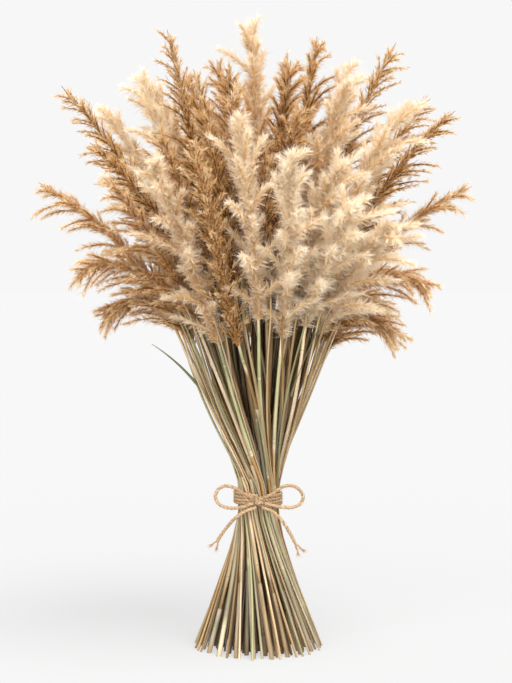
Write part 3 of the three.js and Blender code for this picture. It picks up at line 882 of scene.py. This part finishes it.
def inner_sheath(sheaf, reed, rng):
    """A dry brown sheath beside an inner cane, which helps to close the neck of the bundle, darkened by painted shade.
    """
    low = rng.uniform(0.195, 0.235)
    heights = np.linspace(low, low + rng.uniform(0.13, 0.17), SHEATH_STEPS)
    t = np.linspace(0, 1, SHEATH_STEPS)[:, None]
    away = polar(rng.uniform(0, 360), 1, 0)
    points = cane_point(reed, heights) + away * (SHEATH_OFF[0] + SHEATH_OFF[1] * t)
    width = SHEATH_WIDTH / 2 * np.sin(math.pi * (0.12 + 0.88 * t) ** 0.8)
    wide = np.cross(away, [0, 0, 1.0]) * width
    thick = away * LEAF_THICKNESS / 2
    crown = away * SHEATH_OFF[0]
    corners = [points - wide, points - thick + crown, points + wide, points + thick + crown]
    hues = np.full(SHEATH_STEPS, rng.uniform(0.2, 0.36))
    # painted shade of the bundle's middle
    shade = rng.uniform(0.3, 0.45) * painted_depth_shade(reed, low)
    strip(sheaf, corners, t[:, 0], 90, 0.15, hues, shade)


def stem_mesh(reed, stalks):
    rng = np.random.default_rng([SEED, reed["number"], 1])
    heights, radii, hues, shades = cane_rings(reed, rng)
    # painted shade of the bundle's middle, for both hue and shade
    light = painted_depth_shade(reed, heights)
    axis = plume_axis(reed, 13)[1:9]  # the cane goes on along most of its plume, ever thinner
    many = len(axis)
    points = np.concatenate([wandering(reed, cane_point(reed, heights), rng), axis])
    thinner = read(CANE_RADII, reed["root_height"]) * CULM_SHARE * np.linspace(1, 0.35, many)
    radii = np.concatenate([radii, thinner])
    lengths = np.concatenate([heights, heights[-1] + 0.02 * np.arange(1, many + 1)])
    hues = np.concatenate([painted_shade_hues(hues, light), np.full(many, 0.4)])
    shades = np.concatenate([shades * light, np.full(many, 0.5)])
    sheaf = Sheaf()
    shift = reed["number"] * MAP_SHIFT
    rod(sheaf, points, radii, CANE_SIDES, shift, lengths, hues, shades, -level(points[0]), HOLE_DEPTH)
    for place in stalks:
        thin_stalk(sheaf, reed, place, rng)
    if reed["radius"] < 0.75 * BUNDLE_RADIUS:
        for _ in range(2):
            inner_sheath(sheaf, reed, rng)
    if "leaf" in reed:
        leaf_blade(sheaf, reed, rng)
    return sheaf.mesh(f"stem_{reed['number']:02d}", cane=0, hue=2)


# ---- Plumes ----

GOLDEN_ANGLE = 137.508

# reach and droop: a side branch's greatest length, and how far its tip sinks, as a share of it.
# wide and narrow: a branch's angle from the plume's axis at the root and near the tip, in degrees.
# lean and splay: a spikelet's and a hair's angle from the branch. core: the radius of its woolly middle.
# profile: the lengths of the branches from the plume's root to its tip.
# cluster and tuft: how many spikelets and hairs grow together, from bases within tuft_radius.
# grade: how much paler a branch is at its tip than at its root, partly its own colour and partly painted shade
# near the plume's axis. painted_root_shade: painted shade, how much darker a plume in the middle of the bundle is at
# its root than at its tip.
PLUMES = {
    "cream": dict(
        branches=19, fillers=20, reach=0.055, droop=0.12, wide=42, narrow=20, core=0.0018, axis_core=0.0034,
        profile=[(0, 0.62), (0.12, 0.95), (0.4, 1), (0.75, 0.75), (0.9, 0.5), (1, 0.25)],
        spikelets=300, spikelet=0.0048, spikelet_width=0.0009, lean=34, cluster=2,
        hairs=18600, hair=0.0092, hair_width=0.00056, splay=54, tuft=4, tuft_radius=0.0012,
        core_tone=0.80, tone=0.97, tip_paling_and_painted_shade=0.20, spikelet_tone=0.85, painted_root_shade=0.30,
    ),
    "tan": dict(
        branches=38, fillers=14, reach=0.046, droop=0.26, wide=38, narrow=20, core=0.0012, axis_core=0.0032,
        profile=[(0, 0.6), (0.12, 1), (0.5, 0.95), (0.8, 0.65), (1, 0.25)],
        spikelets=1500, spikelet=0.0048, spikelet_width=0.0010, lean=32, cluster=3,
        hairs=9700, hair=0.0076, hair_width=0.00054, splay=46, tuft=4, tuft_radius=0.0009,
        core_tone=0.31, tone=0.69, tip_paling_and_painted_shade=0.24, spikelet_tone=0.65, painted_root_shade=0.78,
    ),
    "golden": dict(
        branches=60, fillers=12, reach=0.038, droop=0.10, wide=34, narrow=25, core=0.0009, axis_core=0.0028,
        profile=[(0, 0.8), (0.15, 1), (0.5, 0.88), (0.8, 0.6), (1, 0.25)],
        spikelets=5000, spikelet=0.0050, spikelet_width=0.00105, lean=30, cluster=3,
        hairs=2500, hair=0.0062, hair_width=0.00048, splay=36, tuft=3, tuft_radius=0.0007,
        core_tone=0.22, tone=0.69, tip_paling_and_painted_shade=0.20, spikelet_tone=0.67, painted_root_shade=0.62,
    ),
}
TONE_SPREAD = 0.12
STRAND_TONE_SPREAD = {"spikelet": 0.06, "hair": 0.04}

FILLER_SHARE = 0.55  # of a branch's length
FLANK_LONGER = 0.20  # branches on the flank away from the bundle, as a share
FLANK_WIDER = 11  # and in degrees

AXIS_WEIGHT = 2.6  # how much denser the axis is clothed than a branch
CORE_SHAPE = [(0, 0.7), (0.25, 1), (0.6, 0.65), (1, 0.08)]
CORE_RINGS = {"axis_core": 14, "core": 5}
CORE_SIDES = 4
STRAND_LEANS = [(0, 1.3), (0.1, 1.1), (0.6, 1), (1, 0.6)]  # the strands close up towards a branch's tip
STRAND_REACH = [(0, 1), (0.7, 1), (1, 0.75)]
STRAND_SAG = np.array([0, 0, -0.04])
STRAY_SHARE = 0.22  # of the hairs, out of line with their tuft


def plume_axis(reed, steps=48):
    """Points at even distances along the plume's curve."""
    return evenly(bezier(reed["curve"], np.linspace(0, 1, 400)), steps)


def grow_branches(axis, first_side, kind, rng):
    """The plume's side branches, each its place and a chain of points. Fillers among them hug the axis."""
    tangents, sides, fronts = frames_along(axis, first_side)
    places = [(k / kind["branches"], 1) for k in range(kind["branches"])]
    places += [((k + 0.5) / kind["fillers"], FILLER_SHARE) for k in range(kind["fillers"])]
    chains = []
    for k, (place, size) in enumerate(places):
        s = 0.94 * np.clip(place + rng.uniform(-0.3, 0.3) / kind["branches"], 0, 1)
        i = int(round(s * (len(axis) - 1)))
        root, tangent = axis[i], tangents[i]
        turn = math.radians(GOLDEN_ANGLE * k + rng.uniform(-25, 25))
        out = sides[i] * math.cos(turn) + fronts[i] * math.sin(turn)
        x, y = unit(root[:2] + 1e-9)
        flank = float(out @ (x, -0.5 * y, -0.35 * abs(x)))
        angle = kind["wide"] + (kind["narrow"] - kind["wide"]) * s + FLANK_WIDER * flank
        angle = max(5, angle + rng.normal(0, 5)) * (0.5 if size < 1 else 1)
        reach = size * kind["reach"] * read(kind["profile"], s) * rng.uniform(0.75, 1.12)
        reach *= 1 + FLANK_LONGER * flank
        away = tangent * math.cos(math.radians(angle)) + out * math.sin(math.radians(angle))
        lying = 1 - 0.75 * abs(tangent[2])
        tip = root + reach * (away + out * 0.10)
        tip[2] -= reach * kind["droop"] * (0.35 + lying) * rng.uniform(0.5, 1.3)
        control = root + away * reach * 0.55 + tangent * reach * 0.08
        chains.append((s, bezier(np.array([root, control, tip]), np.linspace(0, 1, 7))))
    return chains


def strand_groups(chain, core, kind, own_tone_and_painted_shade, share, names, rng):
    """Bases, tips, facings and tones of a branch's share of the strands, which grow together in groups."""
    many, together, angle, length, tone = (kind[name] for name in names)
    groups = max(1, round(round(many * share) / together))
    t = (np.arange(groups) + rng.uniform(0, 1, groups)) / groups
    ahead = unit(along_chain(chain, t + 0.06) - along_chain(chain, t - 0.06))
    turn = np.radians(GOLDEN_ANGLE * np.arange(groups) + rng.uniform(-30, 30, groups))
    lean = np.radians(angle * read(STRAND_LEANS, t) * rng.uniform(0.5, 1.3, groups))
    pointing, out = around(ahead, lean, turn)
    base = along_chain(chain, t * 0.97) + out * (core * read(CORE_SHAPE, t) * 0.85)[:, None]
    reach = length * rng.uniform(0.7, 1.3, groups) * read(STRAND_REACH, t)
    tip = base + (pointing + rng.normal(0, 0.07, (groups, 3)) + STRAND_SAG) * reach[:, None]
    facing = tilted(pointing, out, 50, rng)
    # a branch is paler at its tip: partly its own colour, partly painted shade near the plume's axis
    tone = tone + np.interp(t, (0, 1), own_tone_and_painted_shade) + kind["tip_paling_and_painted_shade"] * (t - 0.5)
    tone = tone + rng.normal(0, TONE_SPREAD, groups)
    return [np.repeat(x, together, axis=0) for x in (base, tip, facing, tone)]


def clothe(sheaf, chain, core, kind, own_tone_and_painted_shade, share, rng):
    """A branch's share of the plume's clusters of spikelets and tufts of silky hairs."""

    def lay(make, name, base, tip, facing, tilt, tone, widths, wider, *sag):
        size = np.linalg.norm(tip - base, axis=1)
        direction = (tip - base) / size[:, None]
        tone = np.clip(tone + rng.normal(0, STRAND_TONE_SPREAD[name], len(base)), *TONE_ENDS)
        width = kind[f"{name}_width"] * rng.uniform(*widths, len(base)) * wider
        make(sheaf, base, direction, tilted(direction, facing, tilt, rng), size, width, *sag, tone)

    names = ("spikelets", "cluster", "lean", "spikelet", "spikelet_tone")
    base, tip, facing, tone = strand_groups(chain, core, kind, own_tone_and_painted_shade, share, names, rng)
    many = len(base)
    along = rng.uniform(-0.5, 0.5, (many, 1))
    base, tip = base + (tip - base) * along, tip + (tip - base) * along
    tip = tip + rng.normal(0, 0.16, (many, 3)) * kind["spikelet"]
    lay(spikelets, "spikelet", base, tip, facing, 20, tone, (0.75, 1.2), 1)

    names = ("hairs", "tuft", "splay", "hair", "tone")
    base, tip, facing, tone = strand_groups(chain, core, kind, own_tone_and_painted_shade, share, names, rng)
    many = len(base)
    aside = rng.normal(0, 0.6, (many, 3)) * kind["tuft_radius"]
    tip = base + (tip - base) * rng.uniform(0.65, 1.1, (many, 1)) + aside * 0.35
    base = base + aside
    stray = rng.uniform(0, 1, (many, 1)) < STRAY_SHARE
    strayed = base + (tip - base) * 1.25 + rng.normal(0, 0.28, (many, 3)) * kind["hair"]
    tip = np.where(stray, strayed, tip)
    wider = np.where(stray[:, 0], 0.6, 1.1)
    lay(hairs, "hair", base, tip, facing, 15, tone, (0.7, 1.3), wider, 0)


def bumpy_core(sheaf, chain, core, rings, tone, rng):
    """The woolly middle of a branch or of the axis, hidden under its strands."""
    t = np.linspace(0, 1, rings)
    radii = core * read(CORE_SHAPE, t) * (1 + 0.25 * rng.uniform(-1, 1, rings))
    faces, ring, side = ring_faces(rings, CORE_SIDES)
    low, high = CORE_SPAN
    tones = tone + TONE_HALF_WIDTH * (2 * side / CORE_SIDES - 1)
    rounds = skin(along_chain(chain, t), radii, CORE_SIDES, (0.3, 0.2, 0.1))
    sheaf.add(rounds, faces, tones, low + (high - low) * ring / (rings - 1))


def plume_mesh(reed):
    kind = PLUMES[reed["kind"]]
    rng = np.random.default_rng([SEED, reed["number"]])
    axis = plume_axis(reed)
    sheaf = Sheaf()
    own = rng.uniform(-0.08, 0.06)  # how much this plume is paler than its kind
    # painted shade: a plume in the middle of the bundle is darker towards its root
    root_painted_shade = kind["painted_root_shade"] * max(0, 1 - reed["radius"] / BUNDLE_RADIUS)
    placed = [*grow_branches(axis, polar(reed["azimuth"] + 90, 1, 0), kind, rng), (None, axis)]
    lengths = np.array([chain_length(chain) for _, chain in placed])
    lengths[-1] *= AXIS_WEIGHT
    for (place, chain), share in zip(placed, lengths / lengths.sum()):
        name = "axis_core" if place is None else "core"
        own_tone_and_painted_shade = own - root_painted_shade * (1 - np.array([0, 1] if place is None else [place] * 2))
        tone = kind["core_tone"] + own_tone_and_painted_shade.mean() + rng.uniform(-0.05, 0.05)
        bumpy_core(sheaf, chain, kind[name], CORE_RINGS[name], max(TONE_ENDS[0], tone), rng)
        clothe(sheaf, chain, kind[name], kind, own_tone_and_painted_shade, share, rng)
    return sheaf.mesh(f"plume_{reed['number']:02d}", OFBake=0, strand=0)


# ---- Materials ----

# Places along a row of colours are tones for the plumes, and hues for the canes and the twine.
STRAND_COLOURS = [
    (0.0, (0.14, 0.050, 0.008)), (0.25, (0.44, 0.205, 0.048)),
    (0.5, (0.69, 0.40, 0.14)), (0.75, (0.82, 0.61, 0.33)),
    (1.0, (0.94, 0.85, 0.68)),
]
HAIR_TIP_COLOURS = [
    (0.0, (0.36, 0.175, 0.050)), (0.4, (0.72, 0.48, 0.235)),
    (0.75, (0.86, 0.73, 0.56)), (1.0, (0.94, 0.89, 0.80)),
]
CANE_COLOURS = [
    (0.0, (0.14, 0.062, 0.010)), (0.2, (0.40, 0.225, 0.072)),
    (0.38, (0.60, 0.405, 0.20)), (0.55, (0.77, 0.61, 0.42)),
    (0.78, (0.36, 0.355, 0.175)), (1.0, (0.21, 0.22, 0.088)),
]
JUTE_COLOURS = [
    (0.0, (0.28, 0.17, 0.085)), (0.5, (0.40, 0.265, 0.148)),
    (1.0, (0.52, 0.375, 0.235)),
]
TIP_COLOUR_SPAN = (0.08, 0.55)  # of the strand map, along which a hair takes on its tip's colour
HAIRS_END = 0.62  # between the hairs' span of that map and the cores'
PLUME_TRANSLUCENCE = 0.5


class Wiring:
    """Adds nodes to a node tree."""

    def __init__(self, tree):
        self.nodes, self.links = tree.nodes, tree.links

    def feed(self, node, inputs):
        """Sets a node's sockets, by name or number, or links them where the value is a node's output."""
        for name, value in inputs.items():
            if isinstance(value, bpy.types.NodeSocket):
                self.links.new(value, node.inputs[name])
            else:
                node.inputs[name].default_value = value

    def add(self, kind, inputs, **settings):
        """The first output of a new node."""
        node = self.nodes.new(kind)
        for name, value in settings.items():
            setattr(node, name, value)
        self.feed(node, inputs)
        return node.outputs[0]

    def maths(self, operation, a, b):
        return self.add("ShaderNodeMath", {0: a, 1: b}, operation=operation)

    def rescale(self, value, start, end, low=0, high=1):
        spans = {"Value": value, "From Min": start, "From Max": end, "To Min": low, "To Max": high}
        return self.add("ShaderNodeMapRange", spans)

    def mix(self, share, a, b, blend="MIX"):
        sockets = {"Factor": share, 6: a, 7: b}
        return self.add("ShaderNodeMix", sockets, data_type="RGBA", blend_type=blend).node.outputs[2]

    def ramp(self, place, stops):
        colour = self.add("ShaderNodeValToRGB", {0: place})
        elements = colour.node.color_ramp.elements
        while len(elements) < len(stops):
            elements.new(0.5)
        for element, (at, stop) in zip(elements, stops):
            element.position = at
            element.color = (*stop, 1)
        return colour

    def map_numbers(self, name):
        """The two numbers of one of the mesh's maps."""
        uv = self.add("ShaderNodeUVMap", {}, uv_map=name)
        return self.add("ShaderNodeSeparateXYZ", {0: uv}).node.outputs[:2]


def new_material(name):
    material = bpy.data.materials.new(name)
    material.use_nodes = True
    return material, Wiring(material.node_tree), material.node_tree.nodes["Principled BSDF"]


def plume_material():
    """Dark and golden at low tones, cream at high ones, paler towards the tips of the hairs."""
    material, wiring, shader = new_material("reed_plume")
    tone, along = wiring.map_numbers("strand")
    is_hair = wiring.maths("LESS_THAN", along, HAIRS_END)
    paler = wiring.maths("MULTIPLY", wiring.rescale(along, *TIP_COLOUR_SPAN), is_hair)
    colour = wiring.mix(paler, wiring.ramp(tone, STRAND_COLOURS), wiring.ramp(tone, HAIR_TIP_COLOURS))
    wiring.feed(shader, {"Base Color": colour, "Roughness": 0.75})
    through = wiring.add("ShaderNodeBsdfTranslucent", {"Color": colour})
    both = wiring.add("ShaderNodeMixShader", {0: PLUME_TRANSLUCENCE, 1: shader.outputs[0], 2: through})
    wiring.feed(wiring.nodes["Material Output"], {"Surface": both})
    return material


def streaked_material(name, map_name, colours, stretch, streaks, roughness, depth):
    """Colour from the hue map, with streaks of hue and shade along the piece that stand up a little."""
    material, wiring, shader = new_material(name)
    hue, shade = wiring.map_numbers("hue")
    place = wiring.add("ShaderNodeUVMap", {}, uv_map=map_name)
    stretched = wiring.add("ShaderNodeMapping", {"Vector": place, "Scale": (*stretch, 1)})
    noise = {"Vector": stretched, "Scale": 1, "Detail": 4, "Roughness": 0.6}
    grain = wiring.add("ShaderNodeTexNoise", noise)
    hue = wiring.maths("ADD", hue, wiring.rescale(grain, 0.3, 0.7, -streaks[0], streaks[0]))
    light = wiring.rescale(grain, 0.25, 0.75, 1 - streaks[1], 1 + streaks[1])
    twice_shade = wiring.maths("MULTIPLY", wiring.maths("MULTIPLY", light, shade), 2)
    colour = wiring.mix(1, wiring.ramp(hue, colours), twice_shade, "MULTIPLY")
    bump = wiring.add("ShaderNodeBump", {"Height": grain, "Strength": 1, "Distance": depth})
    look = {"Base Color": colour, "Roughness": roughness, "Specular IOR Level": 0.25, "Normal": bump}
    wiring.feed(shader, look)
    return material


def fibre_material(name, colours):
    """Loose fibres, each with its own tone."""
    material, wiring, shader = new_material(name)
    tone, _ = wiring.map_numbers("strand")
    wiring.feed(shader, {"Base Color": wiring.ramp(tone, colours), "Roughness": 0.8})
    return material


# ---- Stage ----

BACKGROUND = 0.93  # how bright the floor and the space behind look
AMBIENT = 0.85
FLOOR_COLOUR = 0.15
FLOOR_GLOW = 0.599
FLOOR_SIZE = 30
# Each light's strength, how many degrees across it is, and the way it shines.
SUNS = {
    "key": (3.3, 36, (-0.31, 0.34, -0.89)),
    "fill": (4.2, 90, (0.15, 0.94, -0.30)),
}


def add_floor():
    """A pale floor that glows a little, as a lit table does, so that shadows on it stay light."""
    material, wiring, shader = new_material("floor")
    wiring.feed(shader, {
        "Base Color": (*(FLOOR_COLOUR,) * 3, 1), "Roughness": 0.9, "Specular IOR Level": 0,
        "Emission Color": (1, 1, 1, 1), "Emission Strength": FLOOR_GLOW,
    })
    mesh = bpy.data.meshes.new("floor")
    half = FLOOR_SIZE / 2
    corners = [(-half, -half, 0), (half, -half, 0), (half, half, 0), (-half, half, 0)]
    mesh.from_pydata(corners, [], [(0, 1, 2, 3)])
    mesh.materials.append(material)
    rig.stage(put("floor", mesh))


def add_world():
    """White all round: as bright as the floor to the camera, a little less as the bundle's light."""
    world = bpy.data.worlds.new("studio")
    bpy.context.scene.world = world
    world.use_nodes = True
    wiring = Wiring(world.node_tree)
    white = (1, 1, 1, 1)
    light, seen = (
        wiring.add("ShaderNodeBackground", {"Color": white, "Strength": strength})
        for strength in (AMBIENT, BACKGROUND)
    )
    is_seen = wiring.add("ShaderNodeLightPath", {})
    both = wiring.add("ShaderNodeMixShader", {0: is_seen, 1: light, 2: seen})
    wiring.feed(wiring.nodes["World Output"], {"Surface": both})


def add_sun(name, strength, angle, direction):
    sun = bpy.data.lights.new(name, "SUN")
    sun.energy = strength
    sun.angle = math.radians(angle)
    put(name, sun, direction)


# ---- The bundle ----

add_camera()
reeds = lay_out()
jute = streaked_material("jute", "yarn", JUTE_COLOURS, (9.0, 160.0), (0.30, 0.14), 0.9, 0.00012)
jute_fibre = fibre_material("jute_fibre", JUTE_COLOURS)
cane = streaked_material("reed_cane", "cane", CANE_COLOURS, (6.0, 22.0), (0.10, 0.26), 0.36, 0.0002)
feather = plume_material()
add_twine(jute, jute_fibre, max(reed["radius"] for reed in reeds))
for reed, stalks in zip(reeds, stalk_places(reeds)):
    number, slot = f"{reed['number']:02d}", f"reed_{reed['kind']}"
    add_piece(f"stem_{number}", stem_mesh(reed, stalks), cane, slot, f"reed_{number}")
    add_piece(f"plume_{number}", plume_mesh(reed), feather, slot, f"reed_{number}")
bpy.context.scene.view_settings.view_transform = "Standard"
add_floor()
add_world()
for name, settings in SUNS.items():
    add_sun(name, *settings)

model_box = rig.bounds()
with open("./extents.json", "w") as file:
    json.dump({"cad": [list(c) for c in cad_box], "model": [list(c) for c in model_box]}, file)
